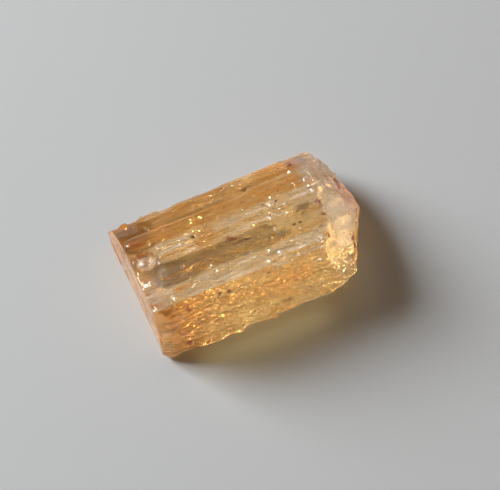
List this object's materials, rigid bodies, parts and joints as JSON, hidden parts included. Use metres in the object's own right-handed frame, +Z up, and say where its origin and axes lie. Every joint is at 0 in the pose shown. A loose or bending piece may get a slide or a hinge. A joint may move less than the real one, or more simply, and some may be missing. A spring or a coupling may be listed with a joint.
{
  "type": "topaz crystal",
  "caption": "Loose natural golden-orange topaz crystal lying on a prism face: ribbed lengthwise, flat cleavage at one end, faceted pyramid tip at the other.",
  "frame": {"origin": "centre of the bounding box in plan, at the height of the face it rests on", "axes": "+X along the crystal's long axis towards the grown tip, -Y towards the steeper long side, +Z up from the rest face to the broad ribbed face"},
  "size_m": [0.015, 0.0094, 0.0048],
  "materials": {
    "topaz": "clear golden-orange natural topaz, refractive index 1.62, lustrous ribbed faces, rust in the small pits"
  },
  "bodies": {
    "root": {"topaz_crystal": "topaz"}
  },
  "joints": []
}
